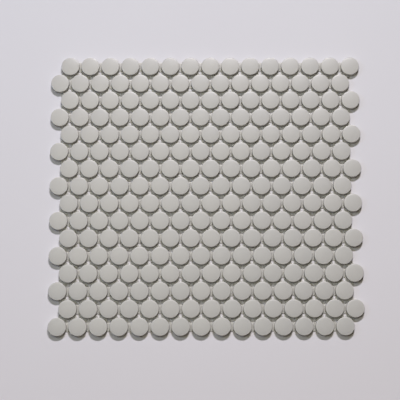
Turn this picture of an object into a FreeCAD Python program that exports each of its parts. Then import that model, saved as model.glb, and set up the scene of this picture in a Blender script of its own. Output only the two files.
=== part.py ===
import FreeCAD, Part
import math
import os

# Penny-round mosaic sheet. Glazed porcelain discs lie face up in staggered rows, and a thin
# resin dot sits in every joint between two neighbouring discs and holds them together.
# Millimetres. The sheet lies on z = 0 with its faces up, and the origin is the middle of its back.

# One disc
TILE_DIAMETER = 19.0
TILE_THICKNESS = 6.0
FACE_CROWN = 0.5
RIM_RADIUS = 0.6
BACK_CHAMFER = 0.4

# The laying pattern, row 1 is the one furthest towards +Y
TILES_PER_ROW = 15
ROW_COUNT = 16
JOINT_WIDTH = 2.0

# One resin dot, seen from above a round of this width that the two discs squeeze to their walls
DOT_WIDTH = 8.8
DOT_HEIGHT = 0.7
DOT_EDGE_RADIUS = 0.5

TILE_RADIUS = TILE_DIAMETER / 2
PITCH = TILE_DIAMETER + JOINT_WIDTH
ROW_PITCH = PITCH * math.sin(math.radians(60))
DOT_BASE = BACK_CHAMFER
UP = FreeCAD.Vector(0, 0, 1)
MIDDLE = FreeCAD.Vector(0, 0, 0)


def face_arc():
    """The crowned face as a sphere, and the rim round that touches both it and the wall.

    The sphere drops by FACE_CROWN over the disc's radius. The rim's centre is one rim radius in
    from the wall, and one rim radius inside the sphere, so both meetings are tangent.
    """
    sphere_radius = (TILE_RADIUS**2 + FACE_CROWN**2) / (2 * FACE_CROWN)
    sphere_z = TILE_THICKNESS - sphere_radius
    rim_x = TILE_RADIUS - RIM_RADIUS
    rim_z = sphere_z + math.sqrt((sphere_radius - RIM_RADIUS) ** 2 - rim_x**2)
    return sphere_radius, sphere_z, rim_x, rim_z


def profile_point(x, z):
    """A point of the disc's half section, in the plane y = 0."""
    return FreeCAD.Vector(x, 0, z)


def tile():
    """One disc: its half section turned round the z axis."""
    sphere_radius, sphere_z, rim_x, rim_z = face_arc()
    slope = math.atan2(rim_x, rim_z - sphere_z)

    def on_sphere(angle):
        return profile_point(sphere_radius * math.sin(angle), sphere_z + sphere_radius * math.cos(angle))

    def on_rim(angle):
        return profile_point(rim_x + RIM_RADIUS * math.sin(angle), rim_z + RIM_RADIUS * math.cos(angle))

    back_middle = profile_point(0, 0)
    back_edge = profile_point(TILE_RADIUS - BACK_CHAMFER, 0)
    wall_foot = profile_point(TILE_RADIUS, BACK_CHAMFER)
    wall_top = on_rim(math.pi / 2)
    half_section = Part.Wire(
        [
            Part.LineSegment(back_middle, back_edge).toShape(),
            Part.LineSegment(back_edge, wall_foot).toShape(),
            Part.LineSegment(wall_foot, wall_top).toShape(),
            Part.Arc(wall_top, on_rim((slope + math.pi / 2) / 2), on_sphere(slope)).toShape(),
            Part.Arc(on_sphere(slope), on_sphere(slope / 2), on_sphere(0)).toShape(),
            Part.LineSegment(on_sphere(0), back_middle).toShape(),
        ]
    )
    return Part.Face(half_section).revolve(MIDDLE, UP, 360)


def joint_dot(disc):
    """One resin dot in the joint between two discs that stand apart along x.

    A round button with a softened top edge, cut to the walls of the two discs.
    """
    button = Part.makeCylinder(DOT_WIDTH / 2, DOT_HEIGHT, FreeCAD.Vector(0, 0, DOT_BASE), UP)
    half_way_up = DOT_BASE + DOT_HEIGHT / 2
    top_edge = [edge for edge in button.Edges if edge.BoundBox.ZMin > half_way_up]
    button = button.makeFillet(DOT_EDGE_RADIUS, top_edge)
    half_pitch = FreeCAD.Vector(PITCH / 2, 0, 0)
    return button.cut([disc.translated(half_pitch), disc.translated(-half_pitch)]).Solids[0]


def tile_centre(row, column):
    """Middle of a disc's back. Odd rows stand a quarter pitch to the right, even ones to the left."""
    side = 1 if row % 2 else -1
    x = (column - (TILES_PER_ROW + 1) / 2) * PITCH + side * PITCH / 4
    y = ((ROW_COUNT + 1) / 2 - row) * ROW_PITCH
    return FreeCAD.Vector(x, y, 0)


def turned_dot(dot, start, end):
    """The dot, turned and moved into the joint between the discs centred on start and end."""
    angle = math.degrees(math.atan2(end.y - start.y, end.x - start.x))
    placed = dot.copy()
    placed.rotate(MIDDLE, UP, angle)
    return placed.translated((start + end) / 2)


def tile_row(disc, row):
    """The discs of one row."""
    return [disc.translated(tile_centre(row, column)) for column in range(1, TILES_PER_ROW + 1)]


def dots_in_row(dot, row):
    """The dots between neighbours of one row."""
    return [
        turned_dot(dot, tile_centre(row, column), tile_centre(row, column + 1))
        for column in range(1, TILES_PER_ROW)
    ]


def dots_below_row(dot, row):
    """The dots that join one row to the next: each disc meets the one or two nearest it there."""
    placed = []
    for column in range(1, TILES_PER_ROW + 1):
        start = tile_centre(row, column)
        for other in range(1, TILES_PER_ROW + 1):
            end = tile_centre(row + 1, other)
            if abs(end.x - start.x) < PITCH:
                placed.append(turned_dot(dot, start, end))
    return placed


def export(name, solids):
    """Writes one node's solids to its own file."""
    Part.makeCompound(solids).exportStep(f"parts/{name}.step")


def main():
    os.makedirs("parts", exist_ok=True)
    disc = tile()
    dot = joint_dot(disc)
    for row in range(1, ROW_COUNT + 1):
        export(f"tile_row_{row:02d}", tile_row(disc, row))
        export(f"joint_dots_in_row_{row:02d}", dots_in_row(dot, row))
    for row in range(1, ROW_COUNT):
        export(f"joint_dots_row_{row:02d}_to_{row + 1:02d}", dots_below_row(dot, row))


main()
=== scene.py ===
import math

import bpy
import numpy as np
from mathutils import Matrix, Vector


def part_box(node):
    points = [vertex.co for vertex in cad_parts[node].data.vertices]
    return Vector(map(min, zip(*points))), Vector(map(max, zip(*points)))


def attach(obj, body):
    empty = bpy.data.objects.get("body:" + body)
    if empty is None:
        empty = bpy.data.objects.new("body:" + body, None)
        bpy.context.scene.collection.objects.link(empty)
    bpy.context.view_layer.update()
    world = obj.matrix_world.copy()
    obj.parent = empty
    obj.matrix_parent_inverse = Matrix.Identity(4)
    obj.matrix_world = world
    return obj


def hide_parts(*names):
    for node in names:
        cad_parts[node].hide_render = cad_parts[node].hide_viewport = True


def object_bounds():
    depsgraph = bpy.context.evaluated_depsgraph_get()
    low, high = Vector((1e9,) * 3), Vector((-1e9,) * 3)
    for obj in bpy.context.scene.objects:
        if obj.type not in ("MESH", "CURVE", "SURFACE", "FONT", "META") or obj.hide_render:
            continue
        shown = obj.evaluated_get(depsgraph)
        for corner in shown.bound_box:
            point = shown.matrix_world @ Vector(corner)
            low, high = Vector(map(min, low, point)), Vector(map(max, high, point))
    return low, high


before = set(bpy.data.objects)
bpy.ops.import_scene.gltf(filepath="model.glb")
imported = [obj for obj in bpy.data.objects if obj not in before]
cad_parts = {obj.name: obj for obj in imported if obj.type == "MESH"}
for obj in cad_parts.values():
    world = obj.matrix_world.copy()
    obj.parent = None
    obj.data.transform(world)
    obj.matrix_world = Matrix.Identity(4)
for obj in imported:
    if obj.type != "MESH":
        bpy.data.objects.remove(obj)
cad_low, cad_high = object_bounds()

# The tiles are pressed porcelain discs under a satin glaze, laid face up in staggered rows, each
# row a piece here. The glaze covers the crowned face, rolls over the rim and ends a little above
# the back, and the bare back keeps the shallow rings of the press, which the adhesive grips.
MM = 0.001
ROWS = 16
TILES_PER_ROW = 15
TILE_RADIUS = 9.47 * MM
TILE_HEIGHT = 5.95 * MM
CAP_RADIUS = 92 * MM
CAP_END = 7.4 * MM
SHOULDER_RADIUS = 20 * MM
RIM_RADIUS = 0.6 * MM
BACK_CHAMFER = 0.4 * MM

# The back has two rings of land, the outer one from the chamfer inwards, and is pressed in between
PRESSED_DEPTH = 0.3 * MM
PRESSED_SLOPE = 0.3 * MM
OUTER_LAND_END = 7.5 * MM
RING_LAND_START = 5.4 * MM
RING_LAND_END = 4.2 * MM

# How finely a disc is drawn
SPOKES = 32
CAP_RINGS = 2
SHOULDER_RINGS = 2
RIM_RINGS = 4
TILE_SHARP_FROM = math.radians(30)

# How much one disc differs from the next
HAND_SEED = 19
PLACING = 0.05 * MM
OUT_OF_ROUND = 0.003
THINNER = 0.015
LEAN = 0.004

GLAZE_COOL = (0.390, 0.379, 0.363)
GLAZE_WARM = (0.407, 0.393, 0.373)
GLAZE_THIN = (0.495, 0.484, 0.455)
GLAZE_SPECK = (0.300, 0.285, 0.255)
BARE_PORCELAIN = (0.500, 0.480, 0.440)
GLAZE_THIN_SHARE = 0.4
GLAZE_SPECK_SHARE = 0.35
GLAZE_CLOUD_TONE = 0.2
GLAZE_ROUGHNESS = 0.42
GLAZE_ROUGHNESS_SPREAD = 0.03
GLAZE_PEEL_DEPTH = 0.012 * MM
GLAZE_GRAIN = {"Cloud Scale": 210, "Peel Scale": 1500, "Speck Scale": 240, "Speck Size": 0.022}
BARE_ROUGHNESS = 0.82

# Height of the line where the glaze ends on the wall, how soft it is, and how far it wanders
GLAZE_LINE = 3.6 * MM
GLAZE_LINE_SOFT = 0.12 * MM
GLAZE_LINE_WANDER = 0.6 * MM

# Noise textures are this detailed, and nearly all their values lie between the two limits
CLOUD_DETAIL = 2.0
PEEL_DETAIL = 3.0
NOISE_LOW = 0.3
NOISE_HIGH = 0.7

hand = np.random.default_rng(HAND_SEED)


def row_centres(row):
    """Middles of a row's discs: evenly spaced between the end discs of the row's CAD box."""
    low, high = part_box(f"tile_row_{row:02d}")
    cad_radius = (high.y - low.y) / 2
    x = np.linspace(low.x + cad_radius, high.x - cad_radius, TILES_PER_ROW)
    return np.stack([x, np.full(TILES_PER_ROW, (low.y + high.y) / 2)], axis=1)


def tile_profile():
    """A disc's half section as radii, heights and how thin the glaze is, poles left out.

    From the face's middle outwards: three arcs, each tangent to the next, for the crowned cap, the
    shoulder and the rim, then the wall's foot, a chamfer, and the back's lands at height 0 with
    its pressed rings above them. An arc's point is the arc's middle plus its radius times sine
    and cosine of the slope. The glaze thins with the shoulder's share squared, and thickens again
    round the rim as the cosine of the slope.
    """
    cap_slope = math.asin(CAP_END / CAP_RADIUS)
    shoulder_out = (CAP_RADIUS - SHOULDER_RADIUS) * math.sin(cap_slope)
    shoulder_up = TILE_HEIGHT - CAP_RADIUS + (CAP_RADIUS - SHOULDER_RADIUS) * math.cos(cap_slope)
    rim_out = TILE_RADIUS - RIM_RADIUS
    rim_slope = math.asin((rim_out - shoulder_out) / (SHOULDER_RADIUS - RIM_RADIUS))
    rim_up = shoulder_up + (SHOULDER_RADIUS - RIM_RADIUS) * math.cos(rim_slope)
    cap = np.linspace(0, cap_slope, CAP_RINGS + 1)[1:]
    shoulder = np.linspace(cap_slope, rim_slope, SHOULDER_RINGS + 1)[1:]
    rim = np.linspace(rim_slope, math.pi / 2, RIM_RINGS + 1)[1:]
    back_radius = [
        TILE_RADIUS,
        TILE_RADIUS - BACK_CHAMFER,
        OUTER_LAND_END,
        OUTER_LAND_END - PRESSED_SLOPE,
        RING_LAND_START + PRESSED_SLOPE,
        RING_LAND_START,
        RING_LAND_END,
        RING_LAND_END - PRESSED_SLOPE,
    ]
    back_height = [BACK_CHAMFER, 0, 0, PRESSED_DEPTH, PRESSED_DEPTH, 0, 0, PRESSED_DEPTH]
    radius = np.concatenate(
        [
            CAP_RADIUS * np.sin(cap),
            shoulder_out + SHOULDER_RADIUS * np.sin(shoulder),
            rim_out + RIM_RADIUS * np.sin(rim),
            back_radius,
        ]
    )
    height = np.concatenate(
        [
            TILE_HEIGHT - CAP_RADIUS + CAP_RADIUS * np.cos(cap),
            shoulder_up + SHOULDER_RADIUS * np.cos(shoulder),
            rim_up + RIM_RADIUS * np.cos(rim),
            back_height,
        ]
    )
    share = (shoulder - cap_slope) / (rim_slope - cap_slope)
    thin = np.concatenate([np.zeros_like(cap), share**2, np.cos(rim), np.zeros(len(back_radius))])
    return radius, height, thin


def pressed_discs(centres, radius, height):
    """Points of a row's discs, (disc, point, xyz): the face's pole, rings by spokes, the back's pole.

    A point is its disc's middle plus the ring's radius along the spoke. The radius swells by a
    wave with two crests round the rim. The height is the ring's, a little less on a thinner disc,
    plus a lean in proportion to that height, so that each back stays flat.
    """
    count = len(centres)
    oval = hand.uniform(0, OUT_OF_ROUND, (count, 1))
    turn = hand.uniform(0, math.pi, (count, 1))
    thickness = 1 - hand.uniform(0, THINNER, (count, 1, 1))
    lean = hand.uniform(-LEAN, LEAN, (count, 2, 1, 1))
    spoke = np.arange(SPOKES) * 2 * math.pi / SPOKES
    swell = 1 - oval * (1 + np.cos(2 * (spoke - turn)))
    reach = radius[None, :, None] * swell[:, None, :]
    x, y = reach * np.cos(spoke), reach * np.sin(spoke)
    tall = height[None, :, None] * thickness
    z = tall + (tall / TILE_HEIGHT) * (lean[:, 0] * x + lean[:, 1] * y)
    rings = np.stack([x, y, z], axis=-1).reshape(count, -1, 3)
    face_pole = np.zeros((count, 1, 3))
    back_pole = np.zeros((count, 1, 3))
    face_pole[:, 0, 2] = TILE_HEIGHT * thickness[:, 0, 0]
    back_pole[:, 0, 2] = PRESSED_DEPTH
    points = np.concatenate([face_pole, rings, back_pole], axis=1)
    points[..., :2] += centres[:, None, :]
    return points


def ring_faces(rings, spokes):
    """Faces of a closed turned shape: a fan at each pole and quads between neighbouring rings.

    Point 0 is the first pole, then come the rings in order, and the last point is the other pole.
    """
    spoke = np.arange(spokes)
    following = (spoke + 1) % spokes
    start = 1 + np.arange(rings - 1)[:, None] * spokes
    quads = np.stack(
        [start + spoke, start + spokes + spoke, start + spokes + following, start + following], axis=-1
    )
    last_ring = 1 + (rings - 1) * spokes
    last_pole = last_ring + spokes
    first_fan = np.stack([np.zeros_like(spoke), 1 + spoke, 1 + following], axis=-1)
    last_fan = np.stack(
        [np.full_like(spoke, last_pole), last_ring + following, last_ring + spoke], axis=-1
    )
    return quads.reshape(-1, 4), np.concatenate([first_fan, last_fan])


def mesh_of(name, points, quads, fans, sharp_angle):
    """One mesh of many like shapes, which all have the same faces. points is (shape, point, xyz)."""
    count, per_shape = points.shape[:2]
    offsets = (np.arange(count) * per_shape)[:, None, None]
    faces = (quads + offsets).reshape(-1, 4).tolist() + (fans + offsets).reshape(-1, 3).tolist()
    mesh = bpy.data.meshes.new(name)
    mesh.from_pydata(points.reshape(-1, 3), [], faces)
    mesh.shade_smooth()
    mesh.set_sharp_from_angle(angle=sharp_angle)
    return mesh


def point_value(mesh, name, values):
    """Stores one number for each point of the mesh, for its material to read."""
    stored = mesh.attributes.new(name, "FLOAT", "POINT")
    stored.data.foreach_set("value", np.ravel(values).astype(np.float32))


def placed(name, data):
    """A new object with this mesh, lamp or camera, put into the scene."""
    made = bpy.data.objects.new(name, data)
    bpy.context.scene.collection.objects.link(made)
    return made


def shader_node(tree, kind, inputs, **settings):
    """A node with its own settings. inputs maps a socket to its value, or to the output that feeds it."""
    node = tree.nodes.new(kind)
    for name, value in settings.items():
        setattr(node, name, value)
    for socket, value in inputs.items():
        if isinstance(value, bpy.types.NodeSocket):
            tree.links.new(value, node.inputs[socket])
        else:
            node.inputs[socket].default_value = value
    return node


def stored_value(tree, name):
    """The number that point_value stored under this name."""
    return shader_node(tree, "ShaderNodeAttribute", {}, attribute_name=name).outputs["Fac"]


def mixed(tree, factor, first, second):
    """The colour that lies factor of the way from first to second.

    A Mix node takes its two colours at sockets 6 and 7, and gives the mixed one at output 2.
    """
    first, second = [
        colour if isinstance(colour, bpy.types.NodeSocket) else (*colour, 1) for colour in (first, second)
    ]
    node = shader_node(tree, "ShaderNodeMix", {0: factor, 6: first, 7: second}, data_type="RGBA")
    return node.outputs[2]


def ranged(tree, value, from_low, from_high, to_low, to_high, smooth=False):
    """value moved from one range to another, and kept inside it."""
    limits = {"From Min": from_low, "From Max": from_high, "To Min": to_low, "To Max": to_high}
    way = "SMOOTHSTEP" if smooth else "LINEAR"
    node = shader_node(tree, "ShaderNodeMapRange", {"Value": value, **limits}, interpolation_type=way)
    return node.outputs["Result"]


def spread(tree, noise, middle, reach):
    """A noise, spread by reach to either side of middle."""
    return ranged(tree, noise, NOISE_LOW, NOISE_HIGH, middle - reach, middle + reach)


def calculated(tree, operation, first, second):
    """first and second joined by one arithmetic operation."""
    return shader_node(tree, "ShaderNodeMath", {0: first, 1: second}, operation=operation).outputs[0]


def mineral_surface():
    """The fine unevenness that fired, cast and rolled surfaces share, as a node group.

    Clouds is a slow change of tone, Relief a fine peel with a finer grain on it, and Specks is 1
    on small round spots, one in each cell of a scattered pattern, and 0 elsewhere.
    """
    group = bpy.data.node_groups.new("mineral_surface", "ShaderNodeTree")
    sockets = group.interface
    sockets.new_socket("Position", in_out="INPUT", socket_type="NodeSocketVector")
    for name in ("Cloud Scale", "Peel Scale", "Speck Scale", "Speck Size"):
        sockets.new_socket(name, in_out="INPUT", socket_type="NodeSocketFloat")
    for name in ("Clouds", "Relief", "Specks"):
        sockets.new_socket(name, in_out="OUTPUT", socket_type="NodeSocketFloat")
    given = group.nodes.new("NodeGroupInput").outputs
    place = given["Position"]
    cloud_inputs = {"Vector": place, "Scale": given["Cloud Scale"], "Detail": CLOUD_DETAIL}
    cloud = shader_node(group, "ShaderNodeTexNoise", cloud_inputs)
    peel_inputs = {"Vector": place, "Scale": given["Peel Scale"], "Detail": PEEL_DETAIL}
    peel = shader_node(group, "ShaderNodeTexNoise", peel_inputs)
    cells = shader_node(group, "ShaderNodeTexVoronoi", {"Vector": place, "Scale": given["Speck Scale"]})
    specks = calculated(group, "LESS_THAN", cells.outputs["Distance"], given["Speck Size"])
    result = group.nodes.new("NodeGroupOutput")
    group.links.new(cloud.outputs[0], result.inputs["Clouds"])
    group.links.new(peel.outputs[0], result.inputs["Relief"])
    group.links.new(specks, result.inputs["Specks"])
    return group


mineral_group = mineral_surface()


def material_with(name, grain):
    """A new material, its node tree and shader, the object's own coordinates and the mineral outputs.

    grain gives the scales and the speck size of the mineral group, as far as the material uses them.
    """
    material = bpy.data.materials.new(name)
    material.use_nodes = True
    tree = material.node_tree
    place = tree.nodes.new("ShaderNodeTexCoord").outputs["Object"]
    mineral = shader_node(tree, "ShaderNodeGroup", {"Position": place, **grain}, node_tree=mineral_group)
    return material, tree, tree.nodes["Principled BSDF"], place, mineral.outputs


def raised(tree, shader, height, depth):
    """Shades the surface as if it were raised by height times depth."""
    bump = shader_node(tree, "ShaderNodeBump", {"Distance": depth, "Height": height})
    tree.links.new(bump.outputs["Normal"], shader.inputs["Normal"])


def glazed_porcelain():
    """Satin glaze on the face and wall, bare porcelain below a wandering line near the back."""
    material, tree, shader, place, mineral = material_with("glazed_porcelain", GLAZE_GRAIN)
    clouds = mineral["Clouds"]
    height = shader_node(tree, "ShaderNodeSeparateXYZ", {0: place}).outputs["Z"]
    wander = spread(tree, clouds, 0, GLAZE_LINE_WANDER / 2)
    above_line = calculated(tree, "SUBTRACT", height, wander)
    line_from, line_to = GLAZE_LINE - GLAZE_LINE_SOFT, GLAZE_LINE + GLAZE_LINE_SOFT
    glazed = ranged(tree, above_line, line_from, line_to, 0, 1, smooth=True)
    cloudy = spread(tree, clouds, 0, GLAZE_CLOUD_TONE)
    tone = calculated(tree, "ADD", stored_value(tree, "kiln_tone"), cloudy)
    thin = calculated(tree, "MULTIPLY", stored_value(tree, "glaze_thin"), GLAZE_THIN_SHARE)
    specks = calculated(tree, "MULTIPLY", mineral["Specks"], GLAZE_SPECK_SHARE)
    glaze = mixed(tree, tone, GLAZE_COOL, GLAZE_WARM)
    glaze = mixed(tree, thin, glaze, GLAZE_THIN)
    glaze = mixed(tree, specks, glaze, GLAZE_SPECK)
    tree.links.new(mixed(tree, glazed, BARE_PORCELAIN, glaze), shader.inputs["Base Color"])
    patchy = spread(tree, clouds, GLAZE_ROUGHNESS, GLAZE_ROUGHNESS_SPREAD)
    roughness = shader_node(tree, "ShaderNodeMix", {"Factor": glazed, "A": BARE_ROUGHNESS, "B": patchy})
    tree.links.new(roughness.outputs["Result"], shader.inputs["Roughness"])
    raised(tree, shader, mineral["Relief"], GLAZE_PEEL_DEPTH)
    return material


cad_centres = np.stack([row_centres(row) for row in range(1, ROWS + 1)])
tile_centres = np.clip(
    cad_centres + hand.uniform(-PLACING, PLACING, cad_centres.shape),
    np.array(cad_low.xy) + TILE_RADIUS,
    np.array(cad_high.xy) - TILE_RADIUS,
)
ring_radius, ring_height, ring_thin = tile_profile()
tile_quads, tile_fans = ring_faces(len(ring_radius), SPOKES)
thin_of_point = np.concatenate([[0], np.repeat(ring_thin, SPOKES), [0]])
porcelain = glazed_porcelain()
for row in range(1, ROWS + 1):
    points = pressed_discs(tile_centres[row - 1], ring_radius, ring_height)
    mesh = mesh_of(f"tiles_{row:02d}", points, tile_quads, tile_fans, TILE_SHARP_FROM)
    tone = hand.uniform(0, 1, (TILES_PER_ROW, 1)) * np.ones(points.shape[1])
    point_value(mesh, "kiln_tone", tone)
    point_value(mesh, "glaze_thin", np.tile(thin_of_point, TILES_PER_ROW))
    mesh.materials.append(porcelain)
    tiles = placed(f"tiles_{row:02d}", mesh)
    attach(tiles, "root")
    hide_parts(f"tile_row_{row:02d}")

# The resin dots hold the sheet together: a round, thin dot of milky resin is pressed into each
# joint from the back and wets the walls of both discs. All dots between discs of one row are one
# piece, and all dots from row to row are another.
DOT_WIDTH = 9.6 * MM
DOT_HEIGHT = 0.5 * MM
DOT_MIDDLE = 0.68 * MM
DOT_SIZE_SPREAD = 0.04
DOT_SHIFT = 0.2 * MM
DOT_ROUNDING = 0.08
DOT_SEAT = 0.18 * MM
DOT_TAPER = 1.1
DOT_SPOKES = 12
DOT_SHARP_FROM = math.radians(70)

# Where a dot's sections stand, as shares of the way from the joint's middle to either wall
DOT_STATIONS = np.array([-1, -0.55, 0, 0.55, 1])

# Two discs share a joint where their middles are nearer to each other than this
JOINT_REACH = 2.5 * TILE_RADIUS

RESIN = (0.360, 0.350, 0.330)
RESIN_DEEP = (0.336, 0.326, 0.308)
RESIN_EDGE = (0.412, 0.401, 0.380)
RESIN_ROUGHNESS = 0.45
RESIN_ROUGHNESS_SPREAD = 0.06
RESIN_RIPPLE_DEPTH = 0.02 * MM
RESIN_GRAIN = {"Cloud Scale": 700, "Peel Scale": 2600}
RESIN_IOR = 1.46
RESIN_MILK = 0.25
RESIN_DEPTH = 1.0 * MM
RESIN_DEPTH_BY_COLOUR = (1.0, 0.95, 0.8)


def resin_dots(starts, ends):
    """Points of the dots between pairs of discs: pole, sections by spokes, pole.

    A section is a flat oval, width along the joint and height up, as powers of cosine and sine.
    Sections stand from wall to wall at shares of the gap, which widens away from the joint's
    middle as the discs curve off. Their width falls with the share squared, as a round's does.
    Also gives how near each point of a dot lies to the dot's ends, the width's share squared.
    """
    count = len(starts)
    across = ends - starts
    pitch = np.linalg.norm(across, axis=1)
    across = across / pitch[:, None]
    along = np.stack([-across[:, 1], across[:, 0]], axis=1)
    size = 1 + hand.uniform(-DOT_SIZE_SPREAD, DOT_SIZE_SPREAD, (2, count, 1, 1))
    shift = hand.uniform(-DOT_SHIFT, DOT_SHIFT, (count, 1, 1))
    angle = np.arange(DOT_SPOKES) * 2 * math.pi / DOT_SPOKES
    wide = np.sign(np.cos(angle)) * np.abs(np.cos(angle)) ** DOT_TAPER
    tall = np.sign(np.sin(angle)) * np.abs(np.sin(angle)) ** DOT_TAPER
    round_off = (1 - DOT_ROUNDING * DOT_STATIONS**2)[None, :, None]
    side = shift + DOT_WIDTH / 2 * size[0] * round_off * wide
    up = np.broadcast_to(DOT_MIDDLE + DOT_HEIGHT / 2 * size[1] * tall, side.shape)
    half_gap = pitch[:, None, None] / 2 - np.sqrt(TILE_RADIUS**2 - side**2) + DOT_SEAT
    over = DOT_STATIONS[None, :, None] * half_gap
    middle = (starts + ends)[:, None, None, :] / 2
    flat = middle + over[..., None] * across[:, None, None, :] + side[..., None] * along[:, None, None, :]
    rings = np.concatenate([flat, up[..., None]], axis=-1)
    poles = rings[:, [0, -1]].mean(axis=2)
    edge = np.concatenate([[0], np.tile(wide**2, len(DOT_STATIONS)), [0]])
    return np.concatenate([poles[:, :1], rings.reshape(count, -1, 3), poles[:, 1:]], axis=1), edge


def neighbours_in_rows(centres):
    """Starts and ends of the joints between neighbours of one row."""
    return centres[:, :-1].reshape(-1, 2), centres[:, 1:].reshape(-1, 2)


def neighbours_between_rows(centres):
    """Starts and ends of the joints from each row to the next: all pairs that nearly touch."""
    start, end = np.broadcast_arrays(centres[:-1, :, None], centres[1:, None, :])
    touching = np.linalg.norm(end - start, axis=-1) < JOINT_REACH
    return start[touching], end[touching]


def clear_resin():
    """Milky resin, paler at its thin ends, with a skin that is smooth but not polished."""
    material, tree, shader, _, mineral = material_with("clear_resin", RESIN_GRAIN)
    body = mixed(tree, spread(tree, mineral["Clouds"], 0.5, 0.5), RESIN, RESIN_DEEP)
    colour = mixed(tree, stored_value(tree, "resin_edge"), body, RESIN_EDGE)
    tree.links.new(colour, shader.inputs["Base Color"])
    roughness = spread(tree, mineral["Relief"], RESIN_ROUGHNESS, RESIN_ROUGHNESS_SPREAD)
    tree.links.new(roughness, shader.inputs["Roughness"])
    raised(tree, shader, mineral["Clouds"], RESIN_RIPPLE_DEPTH)
    shader.inputs["Subsurface Weight"].default_value = RESIN_MILK
    shader.inputs["Subsurface Radius"].default_value = RESIN_DEPTH_BY_COLOUR
    shader.inputs["Subsurface Scale"].default_value = RESIN_DEPTH
    shader.inputs["IOR"].default_value = RESIN_IOR
    return material


dot_quads, dot_fans = ring_faces(len(DOT_STATIONS), DOT_SPOKES)
resin = clear_resin()
dot_pieces = {
    "resin_dots_in_rows": (
        neighbours_in_rows(tile_centres),
        [f"joint_dots_in_row_{row:02d}" for row in range(1, ROWS + 1)],
    ),
    "resin_dots_between_rows": (
        neighbours_between_rows(tile_centres),
        [f"joint_dots_row_{row:02d}_to_{row + 1:02d}" for row in range(1, ROWS)],
    ),
}
for name, (joints, nodes) in dot_pieces.items():
    points, edge = resin_dots(*joints)
    mesh = mesh_of(name, points, dot_quads, dot_fans, DOT_SHARP_FROM)
    point_value(mesh, "resin_edge", np.tile(edge, len(points)))
    mesh.materials.append(resin)
    dots = placed(name, mesh)
    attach(dots, "root")
    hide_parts(*nodes)

# The floor is a plain pale board under the sheet, painted flat, a hair below the discs' backs so
# that the two don't share a plane. Its colour is painted shade: darker towards the far side, where
# the key lamp gives more light. Well away from the sheet it runs over into a backdrop of the same
# pale tone, and from underneath it is left clear.
FLOOR_HALF = 4.0
FLOOR_DROP = 0.02 * MM
# Painted shade: the far colour is darker, to even out the key lamp's stronger light on that side
FLOOR_NEAR = (0.630, 0.604, 0.632)
FLOOR_FAR = (0.585, 0.577, 0.612)
FLOOR_FADE_FROM = -0.25
FLOOR_FADE_TO = 0.25
FLOOR_ROUGHNESS = 0.88
FLOOR_ROUGHNESS_SPREAD = 0.04
FLOOR_TOOTH_DEPTH = 0.01 * MM
FLOOR_GRAIN = {"Cloud Scale": 9, "Peel Scale": 2200}
BACKDROP = (0.630, 0.610, 0.630)
BACKDROP_FROM = 0.3
BACKDROP_TO = 1.0


def looked_at(tree, ray):
    """1 for what the eye, a gloss or a clear piece shows, and 0 for what only gives light."""
    in_view = calculated(tree, "MAXIMUM", ray["Is Camera Ray"], ray["Is Glossy Ray"])
    return calculated(tree, "MAXIMUM", in_view, ray["Is Transmission Ray"])


def pale_board():
    """Flat paint with a faint tooth, its colour fading darker along y as painted shade, and the backdrop
    beyond it.

    The back of the board is clear where it is looked at, and so is all that is seen through it.
    """
    material, tree, shader, place, mineral = material_with("pale_board", FLOOR_GRAIN)
    depth = shader_node(tree, "ShaderNodeSeparateXYZ", {0: place}).outputs["Y"]
    painted_shade = ranged(tree, depth, FLOOR_FADE_FROM, FLOOR_FADE_TO, 0, 1)
    tree.links.new(mixed(tree, painted_shade, FLOOR_NEAR, FLOOR_FAR), shader.inputs["Base Color"])
    roughness = spread(tree, mineral["Clouds"], FLOOR_ROUGHNESS, FLOOR_ROUGHNESS_SPREAD)
    tree.links.new(roughness, shader.inputs["Roughness"])
    raised(tree, shader, mineral["Relief"], FLOOR_TOOTH_DEPTH)
    ray = shader_node(tree, "ShaderNodeLightPath", {}).outputs
    seen = looked_at(tree, ray)
    away = shader_node(tree, "ShaderNodeVectorMath", {0: place}, operation="LENGTH").outputs["Value"]
    distant = ranged(tree, away, BACKDROP_FROM, BACKDROP_TO, 0, 1, smooth=True)
    backdrop = shader_node(tree, "ShaderNodeEmission", {"Color": (*BACKDROP, 1)}).outputs[0]
    cove_inputs = {0: calculated(tree, "MULTIPLY", seen, distant), 1: shader.outputs[0], 2: backdrop}
    cove = shader_node(tree, "ShaderNodeMixShader", cove_inputs).outputs[0]
    backfacing = shader_node(tree, "ShaderNodeNewGeometry", {}).outputs["Backfacing"]
    underneath = calculated(tree, "MULTIPLY", seen, backfacing)
    underneath = calculated(tree, "MAXIMUM", underneath, ray["Transparent Depth"])
    clear = shader_node(tree, "ShaderNodeBsdfTransparent", {}).outputs[0]
    whole = shader_node(tree, "ShaderNodeMixShader", {0: underneath, 1: cove, 2: clear}).outputs[0]
    tree.links.new(whole, tree.nodes["Material Output"].inputs["Surface"])
    return material


floor_mesh = bpy.data.meshes.new("floor")
corners = FLOOR_HALF * np.array([(-1, -1, 0), (1, -1, 0), (1, 1, 0), (-1, 1, 0)])
corners[:, 2] = -FLOOR_DROP
floor_mesh.from_pydata(corners.tolist(), [], [(0, 1, 2, 3)])
floor_mesh.materials.append(pale_board())
floor = placed("floor", floor_mesh)

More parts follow.
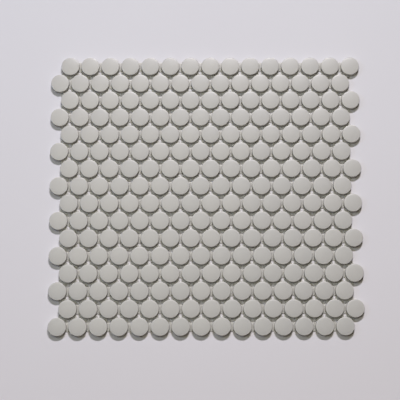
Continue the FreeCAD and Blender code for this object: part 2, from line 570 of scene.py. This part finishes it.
# The light is a soft key lamp beyond the top of the sheet, a weaker one nearly overhead, a faint
# cool one on the left like a window, and a faint warm room that looks as pale as the backdrop. A
# lamp under the floor rakes over the back, and reaches it only where the floor is clear.
SHEET_MIDDLE = Vector((0.0, 0.0, 0.0))
KEY_PLACE = Vector((0.10, 1.17, 1.44))
KEY_AIM = Vector((0.0, -6.0, 0.0))
KEY_WIDTH = 0.36
KEY_DEPTH = 0.2
KEY_POWER = 41.6
KEY_COLOUR = (0.965, 0.944, 1.0)
FILL_PLACE = Vector((-0.25, 0.22, 1.80))
FILL_WIDTH = 0.8
FILL_DEPTH = 0.8
FILL_POWER = 7.9
FILL_COLOUR = (0.98, 0.99, 0.77)
SIDE_PLACE = Vector((-1.3, 0.3, 1.25))
SIDE_WIDTH = 0.5
SIDE_DEPTH = 0.5
SIDE_POWER = 4.1
SIDE_COLOUR = (0.45, 0.64, 1.0)
UNDER_PLACE = Vector((-0.9, 0.6, -0.45))
UNDER_WIDTH = 0.3
UNDER_DEPTH = 0.3
UNDER_POWER = 9.0
UNDER_COLOUR = (1.0, 0.97, 0.94)
ROOM_COLOUR = (1.0, 0.65, 0.15)
ROOM_STRENGTH = 0.04


def soft_lamp(name, place, aim, width, depth, power, colour):
    """An oval lamp, width along x, turned from its place to its aim."""
    lamp = bpy.data.lights.new(name, "AREA")
    lamp.shape = "ELLIPSE"
    lamp.size = width
    lamp.size_y = depth
    lamp.energy = power
    lamp.color = colour
    made = placed(name, lamp)
    made.location = place
    made.rotation_euler = (aim - place).to_track_quat("-Z", "Y").to_euler()


soft_lamp("key_lamp", KEY_PLACE, KEY_AIM, KEY_WIDTH, KEY_DEPTH, KEY_POWER, KEY_COLOUR)
soft_lamp("fill_lamp", FILL_PLACE, SHEET_MIDDLE, FILL_WIDTH, FILL_DEPTH, FILL_POWER, FILL_COLOUR)
soft_lamp("side_lamp", SIDE_PLACE, SHEET_MIDDLE, SIDE_WIDTH, SIDE_DEPTH, SIDE_POWER, SIDE_COLOUR)
soft_lamp("under_lamp", UNDER_PLACE, SHEET_MIDDLE, UNDER_WIDTH, UNDER_DEPTH, UNDER_POWER, UNDER_COLOUR)


def room_around():
    """A world that is faint and warm as light, and pale to the eye, in gloss and underneath."""
    world = bpy.data.worlds.new("room")
    world.use_nodes = True
    tree = world.node_tree
    ray = shader_node(tree, "ShaderNodeLightPath", {}).outputs
    pale_part = calculated(tree, "MAXIMUM", looked_at(tree, ray), ray["Transparent Depth"])
    faint_inputs = {"Color": (*ROOM_COLOUR, 1), "Strength": ROOM_STRENGTH}
    faint = shader_node(tree, "ShaderNodeBackground", faint_inputs).outputs[0]
    pale = shader_node(tree, "ShaderNodeBackground", {"Color": (*BACKDROP, 1)}).outputs[0]
    room = shader_node(tree, "ShaderNodeMixShader", {0: pale_part, 1: faint, 2: pale}).outputs[0]
    tree.links.new(room, tree.nodes["World Output"].inputs["Surface"])
    return world


bpy.context.scene.world = room_around()

# The camera looks down on the sheet through a long lens, from high above a point a little beyond
# the sheet's lower edge. A slight roll follows how the sheet lies in the photograph.
CAMERA_PLACE = Vector((-0.0163, -0.2017, 1.2651))
CAMERA_AIM = Vector((-0.00601, -0.00512, 0.0))
CAMERA_ROLL = math.radians(-0.221)
CAMERA_LENS = 110.97

forward = (CAMERA_AIM - CAMERA_PLACE).normalized()
side = forward.cross(Vector((0, 1, 0))).normalized()
turned = Matrix((side, side.cross(forward), -forward)).transposed().to_4x4()
lens = bpy.data.cameras.new("camera")
lens.lens = CAMERA_LENS
camera = placed("camera", lens)
camera.matrix_world = Matrix.Translation(CAMERA_PLACE) @ turned @ Matrix.Rotation(CAMERA_ROLL, 4, "Z")
bpy.context.scene.camera = camera
bpy.context.scene.view_settings.view_transform = "Standard"
